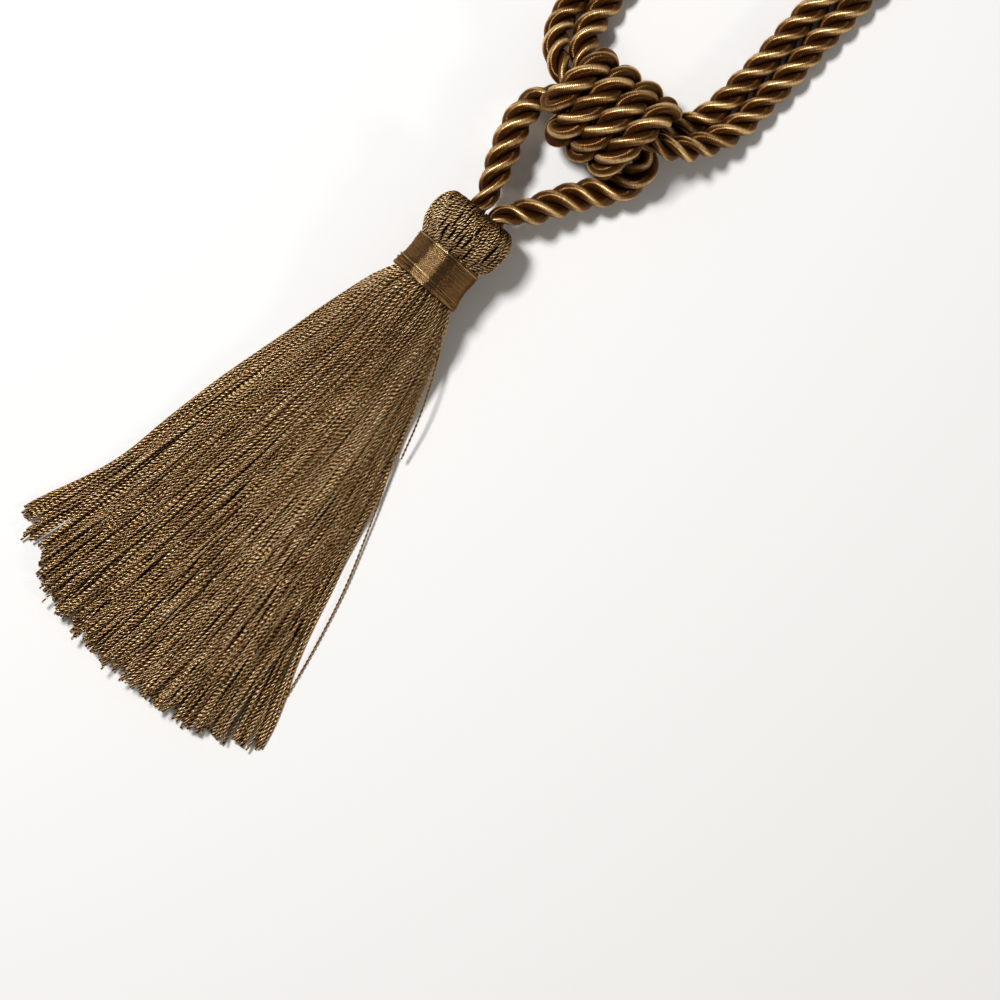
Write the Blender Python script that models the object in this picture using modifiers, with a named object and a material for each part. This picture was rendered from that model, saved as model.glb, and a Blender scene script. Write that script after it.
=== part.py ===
"""Curtain tieback tassel: a thread tassel hung by a rope bridle from a knotted, doubled rope.

Units are metres and +Z is up.  The tassel lies along Y on the floor, its skirt toward -Y and
its knot toward +Y.  The origin is on the floor, under the middle of the tassel's head.
Tables are written in millimetres and scaled by MM.
"""

import math
import random

import bmesh
import bpy
from mathutils import Vector

MM = 0.001
TOUCH_GAP = 0.3
MERGE_DISTANCE = 0.01 * MM

# The rope: three strands, right-handed.
ROPE_DIAMETER = 12.4 * MM
ROPE_STRANDS = 3
ROPE_LAY = 28.5 * MM
GROOVE_SHARE = 0.72
RINGS_PER_LAY = 8
ROUTE_STEPS = 24

# The tassel's head, turned about a level axis that points toward the skirt.
HEAD_AXIS_HEIGHT = 16.0 * MM
TURNED_STEPS = 32
NECK_RADIUS = 13.0
HEAD_PROFILE = (
    # distance toward the skirt, radius
    (36.5, 0.0),
    (35.3, 7.5),
    (32.6, 11.6),
    (29.4, 13.6),
    (26.1, NECK_RADIUS),
    (9.3, NECK_RADIUS),
    (8.2, 15.0),
    (5.5, 16.9),
    (1.5, 17.9),
    (-3.0, 18.0),
    (-7.3, 17.2),
    (-10.6, 15.2),
    (-12.0, 12.8),
    (-11.0, 11.0),
    (-7.6, 9.6),
    (-7.0, 0.0),
)
REST_CUTTER_SIZE = 40.0 * MM

# The binding wound round the neck.
BINDING_PROFILE = (
    # distance toward the skirt, radius: outside from the skirt end, then back inside
    (25.8, NECK_RADIUS + 1.4),
    (25.3, NECK_RADIUS + 2.5),
    (22.5, NECK_RADIUS + 2.3),
    (17.0, NECK_RADIUS + 1.7),
    (11.8, NECK_RADIUS + 1.8),
    (9.9, NECK_RADIUS + 1.4),
    (9.6, NECK_RADIUS + TOUCH_GAP),
    (25.8, NECK_RADIUS + TOUCH_GAP),
)

# The skirt: locks of thread in columns across it and in layers up it.
SKIRT_SECTIONS = (
    # distance from the head, half width, pile height, share of the drop to the floor
    (27.4, 13.0, 26.0, 0.00),
    (38.0, 19.8, 25.2, 0.20),
    (56.0, 25.8, 22.0, 0.70),
    (76.0, 31.6, 18.4, 1.00),
    (130.0, 45.8, 12.6, 1.00),
    (224.0, 65.5, 9.6, 1.00),
)
SKIRT_COLUMNS = 36
SKIRT_LAYERS = 5
EDGE_LAYERS = 0.6
LOCK_FILL = 0.74
LOCK_SWAY = 0.11
LOCK_SEED = 7
TIP_REACH = 222.5
TIP_MIDDLE = 8.0
TIP_HALF_WIDTH = 75.0
TIP_RISE = 27.0
TIP_POWER = 3.2
TIP_RAGGED = 5.0

# The knot: a rope wound round the others in one even coil.
KNOT_CENTRE = (11.8, 72.5, 19.5)
KNOT_TILT = math.radians(2.5)
KNOT_LEAN = math.radians(-3.0)
KNOT_PITCH = 10.7
KNOT_HALF_WIDTH = 17.0
KNOT_HALF_HEIGHT = 14.3
KNOT_TUCK = 8.0
KNOT_FIRST_TURN = 0.29
KNOT_FIRST_TOP = 0.5
KNOT_MIDDLE_TURN = 2.0
KNOT_LAST_TURN = 3.77
KNOT_GIRTH = 0.83
KNOT_END_GIRTH = 0.5
KNOT_END_TURN = 0.06
KNOT_ROWS_PER_TURN = 16

# The bridle: out of the head, up one leg, through the knot and down the other leg.
BRIDLE_ROUTE = (
    # x, y, z, girth as a share of the rope's diameter
    (-3.6, 8.4, 16.0, 0.66),
    (-2.9, 15.0, 16.2, 0.67),
    (-6.4, 27.0, 16.0, 0.92),
    (-10.0, 38.0, 15.2, 1.00),
    (-12.9, 48.0, 14.2, 1.00),
    (-13.3, 57.0, 13.6, 0.94),
    (-9.4, 64.6, 14.2, 0.82),
    (-3.2, 68.4, 16.4, 0.67),
    (4.0, 69.4, 17.1, 0.65),
    (18.5, 70.2, 17.1, 0.65),
    (27.5, 70.8, 16.9, 0.66),
    (32.6, 71.2, 15.6, 0.72),
    (36.2, 69.0, 13.4, 0.89),
    (37.8, 63.2, 11.8, 0.97),
    (35.9, 56.2, 10.2, 0.98),
    (31.7, 50.2, 9.4, 1.00),
    (25.8, 42.8, 9.8, 1.00),
    (19.8, 34.2, 12.2, 1.00),
    (13.6, 23.8, 15.2, 0.90),
    (6.3, 15.4, 16.2, 0.68),
    (4.8, 8.6, 16.0, 0.66),
)

# The tie: one rope that starts inside the knot, makes both doubled arms and comes back.
FLOOR_HEIGHT = 5.4
TIE_ROUTE = (
    # x, y, z, girth as a share of the rope's diameter
    (10.9, 73.2, 24.3, 0.65),
    (0.0, 72.9, 24.3, 0.65),
    (-6.8, 73.2, 23.8, 0.67),
    (-13.4, 75.6, 21.6, 0.76),
    (-18.7, 79.6, 17.4, 0.82),
    (-23.0, 85.4, 12.0, 0.85),
    (-25.9, 92.6, 7.4, 0.86),
    (-26.8, 101.0, FLOOR_HEIGHT, 0.86),
    (-27.4, 120.0, FLOOR_HEIGHT, 0.86),
    (-27.8, 160.0, FLOOR_HEIGHT, 0.88),
    (-28.3, 210.0, FLOOR_HEIGHT, 0.94),
    (-29.6, 260.0, FLOOR_HEIGHT, 1.00),
    (-33.4, 302.0, FLOOR_HEIGHT, 1.00),
    (-40.0, 334.0, FLOOR_HEIGHT, 1.00),
    (-42.3, 357.0, FLOOR_HEIGHT, 1.00),
    (-36.8, 370.3, FLOOR_HEIGHT, 1.00),
    (-23.5, 375.8, FLOOR_HEIGHT, 1.00),
    (-10.2, 370.3, FLOOR_HEIGHT, 1.00),
    (-4.7, 357.0, FLOOR_HEIGHT, 1.00),
    (-8.4, 334.0, FLOOR_HEIGHT, 1.00),
    (-15.6, 302.0, FLOOR_HEIGHT, 1.00),
    (-16.6, 260.0, FLOOR_HEIGHT, 1.00),
    (-16.4, 210.0, FLOOR_HEIGHT, 0.94),
    (-16.7, 160.0, FLOOR_HEIGHT, 0.88),
    (-16.4, 120.0, FLOOR_HEIGHT, 0.86),
    (-15.9, 106.0, 6.0, 0.89),
    (-15.2, 98.4, 8.4, 0.92),
    (-13.2, 91.0, 11.6, 0.92),
    (-9.9, 84.8, 14.6, 0.81),
    (-4.8, 79.9, 16.6, 0.67),
    (0.5, 78.5, 17.1, 0.65),
    (18.5, 78.9, 17.1, 0.65),
    (26.0, 79.6, 16.6, 0.66),
    (31.6, 82.2, 13.6, 0.77),
    (37.0, 86.8, 9.8, 0.87),
    (42.2, 94.0, 6.4, 0.87),
    (45.2, 104.0, FLOOR_HEIGHT, 0.86),
    (46.6, 117.0, FLOOR_HEIGHT, 0.86),
    (47.8, 130.0, FLOOR_HEIGHT, 0.86),
    (48.2, 145.0, FLOOR_HEIGHT, 0.86),
    (49.6, 168.0, FLOOR_HEIGHT, 0.88),
    (50.4, 210.0, FLOOR_HEIGHT, 0.94),
    (49.0, 260.0, FLOOR_HEIGHT, 1.00),
    (46.0, 302.0, FLOOR_HEIGHT, 1.00),
    (38.8, 334.0, FLOOR_HEIGHT, 1.00),
    (36.0, 357.0, FLOOR_HEIGHT, 1.00),
    (41.5, 370.3, FLOOR_HEIGHT, 1.00),
    (54.8, 375.8, FLOOR_HEIGHT, 1.00),
    (68.1, 370.3, FLOOR_HEIGHT, 1.00),
    (73.6, 357.0, FLOOR_HEIGHT, 1.00),
    (70.2, 334.0, FLOOR_HEIGHT, 1.00),
    (63.6, 302.0, FLOOR_HEIGHT, 1.00),
    (62.0, 260.0, FLOOR_HEIGHT, 1.00),
    (62.2, 210.0, FLOOR_HEIGHT, 0.94),
    (60.6, 168.0, FLOOR_HEIGHT, 0.88),
    (59.0, 145.0, FLOOR_HEIGHT, 0.86),
    (58.5, 130.0, FLOOR_HEIGHT, 0.86),
    (57.5, 118.0, FLOOR_HEIGHT, 0.86),
    (56.3, 105.4, 7.0, 0.86),
    (53.6, 95.8, 10.4, 0.86),
    (48.8, 87.0, 14.2, 0.85),
    (44.4, 81.4, 18.6, 0.82),
    (39.0, 77.8, 22.0, 0.74),
    (32.2, 75.8, 23.9, 0.68),
    (24.0, 74.8, 24.3, 0.65),
    (11.7, 73.25, 24.3, 0.65),
)


def new_material(name, colour, roughness):
    """A matte or satin material of one colour."""
    material = bpy.data.materials.new(name)
    material.use_nodes = True
    shader = material.node_tree.nodes["Principled BSDF"]
    shader.inputs["Base Color"].default_value = (*colour, 1.0)
    shader.inputs["Roughness"].default_value = roughness
    shader.inputs["Metallic"].default_value = 0.0
    material.diffuse_color = (*colour, 1.0)
    return material


def new_collection(name):
    """A collection of its own under the scene."""
    collection = bpy.data.collections.new(name)
    bpy.context.scene.collection.children.link(collection)
    return collection


def add_part(name, data, collection, material):
    """Link a mesh or curve to the scene as one finished piece."""
    data.materials.append(material)
    part = bpy.data.objects.new(name, data)
    collection.objects.link(part)
    return part


def add_guide(name, data, collection):
    """Link a shape that only cuts or guides the others."""
    guide = bpy.data.objects.new(name, data)
    guide.hide_render = True
    guide.display_type = "WIRE"
    collection.objects.link(guide)
    return guide


def add_boolean(part, operation, other):
    """Cut the other solid out of the part, or join it on."""
    modifier = part.modifiers.new(operation.title(), "BOOLEAN")
    modifier.operation = operation
    modifier.solver = "EXACT"
    modifier.object = other


# Turned pieces


def profile_mesh(name, profile, closed):
    """The half section of a turned piece, as edges in the XZ plane."""
    mesh = bpy.data.meshes.new(name)
    verts = [(radius * MM, 0.0, along * MM) for along, radius in profile]
    edges = [(index, index + 1) for index in range(len(verts) - 1)]
    if closed:
        edges.append((len(verts) - 1, 0))
    mesh.from_pydata(verts, edges, [])
    return mesh


def turned_part(name, profile, closed, collection, material):
    """Turn a half section about the tassel's level axis."""
    part = add_part(name, profile_mesh(name, profile, closed), collection, material)
    part.location = (0.0, 0.0, HEAD_AXIS_HEIGHT)
    part.rotation_euler = (math.radians(90.0), 0.0, 0.0)
    screw = part.modifiers.new("Screw", "SCREW")
    screw.steps = TURNED_STEPS
    screw.render_steps = TURNED_STEPS
    screw.use_merge_vertices = True
    screw.merge_threshold = MERGE_DISTANCE
    screw.use_smooth_shade = True
    return part


def rest_cutter(collection):
    """A block whose top is the floor: it leaves the small flat that the head rests on."""
    mesh = bpy.data.meshes.new("rest_cutter")
    block = bmesh.new()
    bmesh.ops.create_cube(block, size=REST_CUTTER_SIZE)
    block.to_mesh(mesh)
    block.free()
    cutter = add_guide("rest_cutter", mesh, collection)
    cutter.location = (0.0, 0.0, -REST_CUTTER_SIZE / 2.0)
    return cutter


# The skirt


def tip_distance(x):
    """How far from the head the skirt's cut end lies, at x across it."""
    offset = abs(x - TIP_MIDDLE) / TIP_HALF_WIDTH
    return TIP_REACH - TIP_RISE * offset ** TIP_POWER


def tip_section(side, ragged):
    """The row of the skirt's table at the end of one lock."""
    before, last = SKIRT_SECTIONS[-2], SKIRT_SECTIONS[-1]
    along = tip_distance(side * last[1]) - ragged
    share = (along - before[0]) / (last[0] - before[0])
    row = [start + (end - start) * share for start, end in zip(before, last)]
    return tuple(row)


def lock_section(row, side, layer, layers, sway):
    """A lock's triangle at one section: level underneath, ridged on top."""
    along, half_width, pile, drop = row
    column_width = 2.0 * half_width / SKIRT_COLUMNS
    crown = math.sqrt(1.0 - side * side)
    layer_height = pile * crown / layers
    underside = (1.0 - drop) * (HEAD_AXIS_HEIGHT / MM - pile * crown / 2.0)
    x = half_width * side + sway * column_width
    z = underside + layer * layer_height
    half = LOCK_FILL * column_width / 2.0
    ridge = z + LOCK_FILL * layer_height
    corners = ((x - half, z), (x + half, z), (x, ridge))
    return [Vector((across, -along, up)) * MM for across, up in corners]


def add_lock(bm, sections):
    """Loft one lock through its triangles and close both ends."""
    rings = [[bm.verts.new(corner) for corner in section] for section in sections]
    for ring, following in zip(rings, rings[1:]):
        for corner in range(len(ring)):
            beside = (corner + 1) % len(ring)
            bm.faces.new((ring[corner], ring[beside], following[beside], following[corner]))
    bm.faces.new(reversed(rings[0]))
    bm.faces.new(rings[-1])


def skirt_locks(collection):
    """All the locks of the skirt, apart from each other, with their roots in the neck."""
    draw = random.Random(LOCK_SEED)
    bm = bmesh.new()
    for column in range(SKIRT_COLUMNS):
        side = 2.0 * (column + 0.5) / SKIRT_COLUMNS - 1.0
        crown = math.sqrt(1.0 - side * side)
        layers = round(SKIRT_LAYERS * crown + EDGE_LAYERS)
        for layer in range(layers):
            sway = draw.uniform(-LOCK_SWAY, LOCK_SWAY)
            rows = (*SKIRT_SECTIONS[:-1], tip_section(side, draw.uniform(0.0, TIP_RAGGED)))
            add_lock(bm, [lock_section(row, side, layer, layers, sway) for row in rows])
    bmesh.ops.recalc_face_normals(bm, faces=bm.faces)
    mesh = bpy.data.meshes.new("skirt_locks")
    bm.to_mesh(mesh)
    bm.free()
    return add_guide("skirt_locks", mesh, collection)


# The ropes


def rope_section(collection):
    """The rope's cross-section: a crest over each strand and a groove between them."""
    curve = bpy.data.curves.new("rope_section", "CURVE")
    curve.dimensions = "2D"
    spline = curve.splines.new("POLY")
    corners = 2 * ROPE_STRANDS
    spline.points.add(corners - 1)
    for index, point in enumerate(spline.points):
        share = 1.0 if index % 2 == 0 else GROOVE_SHARE
        radius = share * ROPE_DIAMETER / 2.0
        angle = -math.tau * index / corners
        point.co = (radius * math.cos(angle), radius * math.sin(angle), 0.0, 1.0)
    spline.use_cyclic_u = True
    return add_guide("rope_section", curve, collection)


def route_slopes(knots, spans):
    """The direction of travel at each point of a route, for an even curve through it."""
    chords = [(after - before) / span for before, after, span in zip(knots, knots[1:], spans)]
    slopes = [chords[0]]
    for index in range(1, len(chords)):
        before, after = spans[index - 1], spans[index]
        slopes.append((chords[index - 1] * after + chords[index] * before) / (before + after))
    slopes.append(chords[-1])
    return slopes


def smooth_route(rows):
    """Dense points on one smooth curve through the route's rows, never under the floor."""
    knots = [Vector((x * MM, y * MM, z * MM, girth)) for x, y, z, girth in rows]
    spans = [(after.xyz - before.xyz).length for before, after in zip(knots, knots[1:])]
    slopes = route_slopes(knots, spans)
    points = []
    for index, span in enumerate(spans):
        start, end = knots[index], knots[index + 1]
        leave, arrive = slopes[index] * span, slopes[index + 1] * span
        for step in range(ROUTE_STEPS):
            t = step / ROUTE_STEPS
            rise = t * t * (3.0 - 2.0 * t)
            point = start * (1.0 - rise) + end * rise
            point += leave * (t * (1.0 - t) ** 2) - arrive * (t * t * (1.0 - t))
            point.z = max(point.z, point.w * ROPE_DIAMETER / 2.0)
            points.append(point)
    points.append(knots[-1])
    return points


def even_route(rows, spacing):
    """Points a given spacing apart along the smooth curve, with their exact spacing."""
    dense = smooth_route(rows)
    reach = [0.0]
    for before, after in zip(dense, dense[1:]):
        reach.append(reach[-1] + (after.xyz - before.xyz).length)
    count = round(reach[-1] / spacing)
    step = reach[-1] / count
    points = []
    at = 0
    for index in range(count + 1):
        wanted = min(index * step, reach[-1])
        while at < len(dense) - 2 and reach[at + 1] < wanted:
            at += 1
        share = (wanted - reach[at]) / (reach[at + 1] - reach[at])
        points.append(dense[at].lerp(dense[at + 1], share))
    return points, step


def rope_part(name, rows, section, collection, material):
    """A laid rope along a route: the section turns once for each lay."""
    points, step = even_route(rows, ROPE_LAY / RINGS_PER_LAY)
    curve = bpy.data.curves.new(name, "CURVE")
    curve.dimensions = "3D"
    curve.twist_mode = "MINIMUM"
    curve.bevel_mode = "OBJECT"
    curve.bevel_object = section
    curve.use_fill_caps = True
    spline = curve.splines.new("POLY")
    spline.points.add(len(points) - 1)
    for index, (point, route_point) in enumerate(zip(spline.points, points)):
        point.co = (*route_point.xyz, 1.0)
        point.radius = route_point.w
        point.tilt = math.tau * index * step / ROPE_LAY
    return add_part(name, curve, collection, material)


def knot_girth(turn):
    """The wound rope's girth, drawn in where each end is tucked under."""
    from_end = min(turn - KNOT_FIRST_TURN, KNOT_LAST_TURN - turn)
    share = min(from_end / KNOT_END_TURN, 1.0)
    return KNOT_END_GIRTH + (KNOT_GIRTH - KNOT_END_GIRTH) * share


def knot_rows():
    """The coil of the knot, counted in turns from its underside."""
    centre_x, centre_y, centre_z = KNOT_CENTRE
    turns = KNOT_LAST_TURN - KNOT_FIRST_TURN
    count = round(turns * KNOT_ROWS_PER_TURN)
    rows = []
    for index in range(count + 1):
        turn = KNOT_FIRST_TURN + turns * index / count
        along = KNOT_PITCH * (turn - KNOT_MIDDLE_TURN)
        across = -KNOT_HALF_WIDTH * math.sin(math.tau * turn)
        if turn < KNOT_FIRST_TOP:
            across = max(across, -KNOT_TUCK)
        x = centre_x + along * math.cos(KNOT_TILT) - across * math.sin(KNOT_LEAN)
        y = centre_y + along * math.sin(KNOT_TILT) + across * math.cos(KNOT_LEAN)
        z = centre_z - KNOT_HALF_HEIGHT * math.cos(math.tau * turn)
        rows.append((x, y, z, knot_girth(turn)))
    return rows


def build():
    """Make every piece of the tieback."""
    for old in list(bpy.data.objects):
        bpy.data.objects.remove(old, do_unlink=True)
    parts = new_collection("curtain_tieback_tassel")
    guides = new_collection("cutters")
    thread = new_material("tassel_thread", (0.20, 0.115, 0.040), 0.45)
    satin = new_material("binding_satin", (0.15, 0.075, 0.022), 0.35)
    bridle_cord = new_material("bridle_cord", (0.12, 0.055, 0.016), 0.35)
    knot_cord = new_material("knot_cord", (0.12, 0.057, 0.018), 0.35)
    tie_cord = new_material("tie_cord", (0.12, 0.059, 0.020), 0.35)

    tassel = turned_part("tassel", HEAD_PROFILE, False, parts, thread)
    add_boolean(tassel, "DIFFERENCE", rest_cutter(guides))
    add_boolean(tassel, "UNION", skirt_locks(guides))
    turned_part("neck_binding", BINDING_PROFILE, True, parts, satin)

    section = rope_section(guides)
    rope_part("bridle_rope", BRIDLE_ROUTE, section, parts, bridle_cord)
    rope_part("knot_wrap", knot_rows(), section, parts, knot_cord)
    rope_part("tie_rope", TIE_ROUTE, section, parts, tie_cord)


build()
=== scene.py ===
"""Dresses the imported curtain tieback: twisted thread, satin winding and laid rope.

The tassel lies along -Y on the floor, and the ropes run toward +Y.  Lengths are metres where
MM or a route says so.  The named values and tables of the knot, the head, the binding and the
skirt are in millimetres, and MM scales them where they are used.
"""

import math

import bpy
import numpy as np
from mathutils import Matrix, Vector


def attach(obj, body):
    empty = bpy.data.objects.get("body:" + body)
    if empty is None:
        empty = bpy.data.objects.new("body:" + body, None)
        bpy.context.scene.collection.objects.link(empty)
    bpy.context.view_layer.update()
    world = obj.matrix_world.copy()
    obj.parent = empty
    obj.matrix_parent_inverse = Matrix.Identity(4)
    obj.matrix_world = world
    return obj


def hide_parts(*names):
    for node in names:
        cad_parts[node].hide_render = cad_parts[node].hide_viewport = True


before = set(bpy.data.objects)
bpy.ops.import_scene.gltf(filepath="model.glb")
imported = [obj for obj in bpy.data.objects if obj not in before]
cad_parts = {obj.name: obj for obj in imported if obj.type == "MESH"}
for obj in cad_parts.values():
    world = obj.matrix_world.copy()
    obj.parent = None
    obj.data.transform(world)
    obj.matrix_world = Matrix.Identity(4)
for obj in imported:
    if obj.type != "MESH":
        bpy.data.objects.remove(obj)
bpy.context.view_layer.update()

MM = 0.001
TAU = math.tau
MATERIAL_UV = "thread"
CURVE_STEPS = 24
FLOOR_CLEARANCE = 0.05 * MM
GOLDEN = 0.618034
QUARTER_TURN = 0.25

# The ropes: three strands, laid right-handed, in metres.
ROPE_DIAMETER = 0.0124
ROPE_STRANDS = 3
ROPE_LAY = 28.5 * MM
STRAND_CORNERS = 12
STRAND_OFFSET = 3.30 * MM
STRAND_RISE = 2.90 * MM
STRAND_HALF_WIDTH = 2.55 * MM
LUMP_SIZE = 0.022
LUMP_SHORTEST = 4.0 * MM
LUMP_LONGEST = 19.0 * MM
LUMP_WAVES = 4
LUMP_OFFSET_SHARE = 0.3
BRIDLE_STEP = 0.6 * MM
BRIDLE_FULLNESS = 1.05
BRIDLE_SEED = 11
TIE_STEP = 1.0 * MM
TIE_FULLNESS = 1.07
TIE_SEED = 12
KNOT_STEP = 0.6 * MM
KNOT_FULLNESS = 1.15
KNOT_SEED = 13
BRIDLE_ROUTE = (
    # x, y, z, girth as a share of the diameter
    (-0.0036, 0.0084, 0.016, 0.66), (-0.0029, 0.015, 0.0162, 0.67),
    (-0.0064, 0.027, 0.016, 0.92), (-0.01, 0.038, 0.0152, 1),
    (-0.0129, 0.048, 0.0142, 1), (-0.0133, 0.057, 0.0136, 0.94),
    (-0.0094, 0.0646, 0.0142, 0.82), (-0.0032, 0.0684, 0.0164, 0.67),
    (0.004, 0.0694, 0.0171, 0.65), (0.0185, 0.0702, 0.0171, 0.65),
    (0.0275, 0.0708, 0.0169, 0.66), (0.0326, 0.0712, 0.0156, 0.72),
    (0.0362, 0.069, 0.0134, 0.89), (0.0378, 0.0632, 0.0118, 0.97),
    (0.0359, 0.0562, 0.0102, 0.98), (0.0317, 0.0502, 0.0094, 1),
    (0.0258, 0.0428, 0.0098, 1), (0.0198, 0.0342, 0.0122, 1),
    (0.0136, 0.0238, 0.0152, 0.9), (0.0063, 0.0154, 0.0162, 0.68),
    (0.0048, 0.0086, 0.016, 0.66),
)
TIE_ROUTE = (
    # x, y, z, girth as a share of the diameter
    (0.0109, 0.0732, 0.0243, 0.65), (0, 0.0729, 0.0243, 0.65),
    (-0.0068, 0.0732, 0.0238, 0.67), (-0.0134, 0.0756, 0.0216, 0.76),
    (-0.0187, 0.0796, 0.0174, 0.82), (-0.023, 0.0854, 0.012, 0.85),
    (-0.0259, 0.0926, 0.0074, 0.86), (-0.0268, 0.101, 0.0054, 0.86),
    (-0.0274, 0.12, 0.0054, 0.86), (-0.0278, 0.16, 0.0054, 0.88),
    (-0.0283, 0.21, 0.0054, 0.94), (-0.0296, 0.26, 0.0054, 1),
    (-0.0334, 0.302, 0.0054, 1), (-0.04, 0.334, 0.0054, 1),
    (-0.0423, 0.357, 0.0054, 1), (-0.0368, 0.3703, 0.0054, 1),
    (-0.0235, 0.3758, 0.0054, 1), (-0.0102, 0.3703, 0.0054, 1),
    (-0.0047, 0.357, 0.0054, 1), (-0.0084, 0.334, 0.0054, 1),
    (-0.0156, 0.302, 0.0054, 1), (-0.0166, 0.26, 0.0054, 1),
    (-0.0164, 0.21, 0.0054, 0.94), (-0.0167, 0.16, 0.0054, 0.88),
    (-0.0164, 0.12, 0.0054, 0.86), (-0.0159, 0.106, 0.006, 0.89),
    (-0.0152, 0.0984, 0.0084, 0.92), (-0.0132, 0.091, 0.0116, 0.92),
    (-0.0099, 0.0848, 0.0146, 0.81), (-0.0048, 0.0799, 0.0166, 0.67),
    (0.0005, 0.0785, 0.0171, 0.65), (0.0185, 0.0789, 0.0171, 0.65),
    (0.026, 0.0796, 0.0166, 0.66), (0.0316, 0.0822, 0.0136, 0.77),
    (0.037, 0.0868, 0.0098, 0.87), (0.0422, 0.094, 0.0064, 0.87),
    (0.0452, 0.104, 0.0054, 0.86), (0.0466, 0.117, 0.0054, 0.86),
    (0.0478, 0.13, 0.0054, 0.86), (0.0482, 0.145, 0.0054, 0.86),
    (0.0496, 0.168, 0.0054, 0.88), (0.0504, 0.21, 0.0054, 0.94),
    (0.049, 0.26, 0.0054, 1), (0.046, 0.302, 0.0054, 1),
    (0.0388, 0.334, 0.0054, 1), (0.036, 0.357, 0.0054, 1),
    (0.0415, 0.3703, 0.0054, 1), (0.0548, 0.3758, 0.0054, 1),
    (0.0681, 0.3703, 0.0054, 1), (0.0736, 0.357, 0.0054, 1),
    (0.0702, 0.334, 0.0054, 1), (0.0636, 0.302, 0.0054, 1),
    (0.062, 0.26, 0.0054, 1), (0.0622, 0.21, 0.0054, 0.94),
    (0.0606, 0.168, 0.0054, 0.88), (0.059, 0.145, 0.0054, 0.86),
    (0.0585, 0.13, 0.0054, 0.86), (0.0575, 0.118, 0.0054, 0.86),
    (0.0563, 0.1054, 0.007, 0.86), (0.0536, 0.0958, 0.0104, 0.86),
    (0.0488, 0.087, 0.0142, 0.85), (0.0444, 0.0814, 0.0186, 0.82),
    (0.039, 0.0778, 0.022, 0.74), (0.0322, 0.0758, 0.0239, 0.68),
    (0.024, 0.0748, 0.0243, 0.65), (0.0117, 0.07325, 0.0243, 0.65),
)

# The knot: a rope wound round the others in one even coil.
KNOT_CENTRE = (11.8, 72.5, 19.5)
KNOT_TILT = math.radians(2.5)
KNOT_LEAN = math.radians(-3.0)
KNOT_PITCH = 10.7
KNOT_HALF_WIDTH = 17.0
KNOT_HALF_HEIGHT = 14.3
KNOT_TUCK = 8.0
KNOT_FIRST_TURN = 0.29
KNOT_FIRST_TOP = 0.5
KNOT_MIDDLE_TURN = 2.0
KNOT_LAST_TURN = 3.77
KNOT_GIRTH = 0.83
KNOT_END_GIRTH = 0.5
KNOT_END_TURN = 0.06
KNOT_ROWS_PER_TURN = 16

# The head, turned about the tassel's level axis.
AXIS_HEIGHT = 16.0 * MM
HEAD_SEED = 21
HEAD_LAYERS = (
    # threads, lowest and highest lift, wander, turn about the axis on the way
    (88, -0.25, 0.25, 1.1, 0.10),
    (26, 0.35, 0.60, 3.2, -0.25),
)
HEAD_RING_STEP = 0.55
HEAD_CURVE_STEPS = 12
HEAD_THREAD_LAY = 3.3
HEAD_THREAD_HALVES = (0.56, 0.42)
HEAD_THREAD_SIZES = (0.92, 1.08)
HEAD_THREAD_CORNERS = 6
HEAD_SCATTER = 0.25
HEAD_WANDER_LENGTHS = (14.0, 45.0)
HEAD_WANDER_RADIUS = 6.0
HEAD_RIPPLE = 0.25
HEAD_RIPPLE_LENGTHS = (6.0, 20.0)
# These three set where the painted shade of the dimple's recess fades out along the head's threads,
# and how deep it is.
DIMPLE_LIP = 8.0
DIMPLE_SHADE = 17.0
DIMPLE_PAINTED_SHADE = 1.9
HEAD_THREAD_PROFILE = (
    # distance toward the skirt, radius of the threads' middles
    (-5.0, 6.4), (-6.6, 8.0), (-8.4, 9.6), (-10.4, 10.9), (-11.4, 12.8), (-10.2, 14.8),
    (-7.2, 16.5), (-3.0, 17.35), (1.3, 17.3), (5.0, 16.3), (7.8, 14.4), (9.8, 12.9),
    (12.6, 12.5),
)
# The head's skin takes the darkest thread colour, a painted shade in the gaps between its threads.
HEAD_SKIN = (
    # distance toward the skirt, radius
    (16.0, 0.5), (15.5, 11.6), (10.0, 11.8), (7.4, 13.4), (4.8, 15.3), (1.3, 16.3),
    (-3.0, 16.4), (-6.9, 15.6), (-9.6, 13.9), (-10.6, 12.6), (-9.8, 11.4), (-7.9, 10.1),
    (-6.6, 8.6), (-6.2, 0.5),
)
HEAD_SKIN_STEPS = 48
HEAD_SKIN_TONE = 0.0

# The binding wound round the neck.
BINDING_PITCH = 0.47
BINDING_THREAD = 0.56
BINDING_SUNK = 0.25
BINDING_STEPS = 84
BINDING_FIRST_GAP = 0.3
BINDING_LAST_GAP = 0.4
BINDING_LEAN = 0.10
BINDING_LEAN_TURN = 0.8
BINDING_STRAY = 0.09
BINDING_STRAY_TURNS = (1.3, 9.0)
BINDING_SWELL = 0.13
BINDING_SWELL_TURNS = (0.4, 5.0)
BINDING_SWELL_WAVES = 4
HOOP_FLATNESS = 1.08
HOOP_CORNERS = 6
HOOP_TONES = (0.2, 0.8)
BINDING_ROWS = (
    # distance toward the skirt, outer radius
    (9.2, 14.0), (10.2, 14.7), (12.0, 14.9), (17.0, 14.7), (21.0, 15.0), (23.6, 15.4),
    (25.4, 15.5), (26.1, 14.6),
)
BINDING_SKIN = (
    # distance toward the skirt, radius
    (26.0, 11.0), (25.7, 14.0), (23.6, 14.7), (17.0, 14.0), (12.0, 14.2), (10.1, 13.8),
    (9.5, 11.0),
)
BINDING_SKIN_STEPS = 64
BINDING_SKIN_TONE = 0.1
BINDING_OVERLAYS = (
    # distance, radius, slant, phase, thickness, turns
    (25.2, 15.4, 0.15, 0.10, 0.95, 2.2),
    (23.6, 15.65, 0.75, 0.15, 0.60, 1.6),
    (22.4, 15.5, 1.2, 0.22, 0.50, 1.3),
    (10.0, 14.9, 0.35, 0.75, 0.55, 2.3),
    (11.6, 15.05, 0.9, 0.65, 0.45, 1.2),
)

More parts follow.
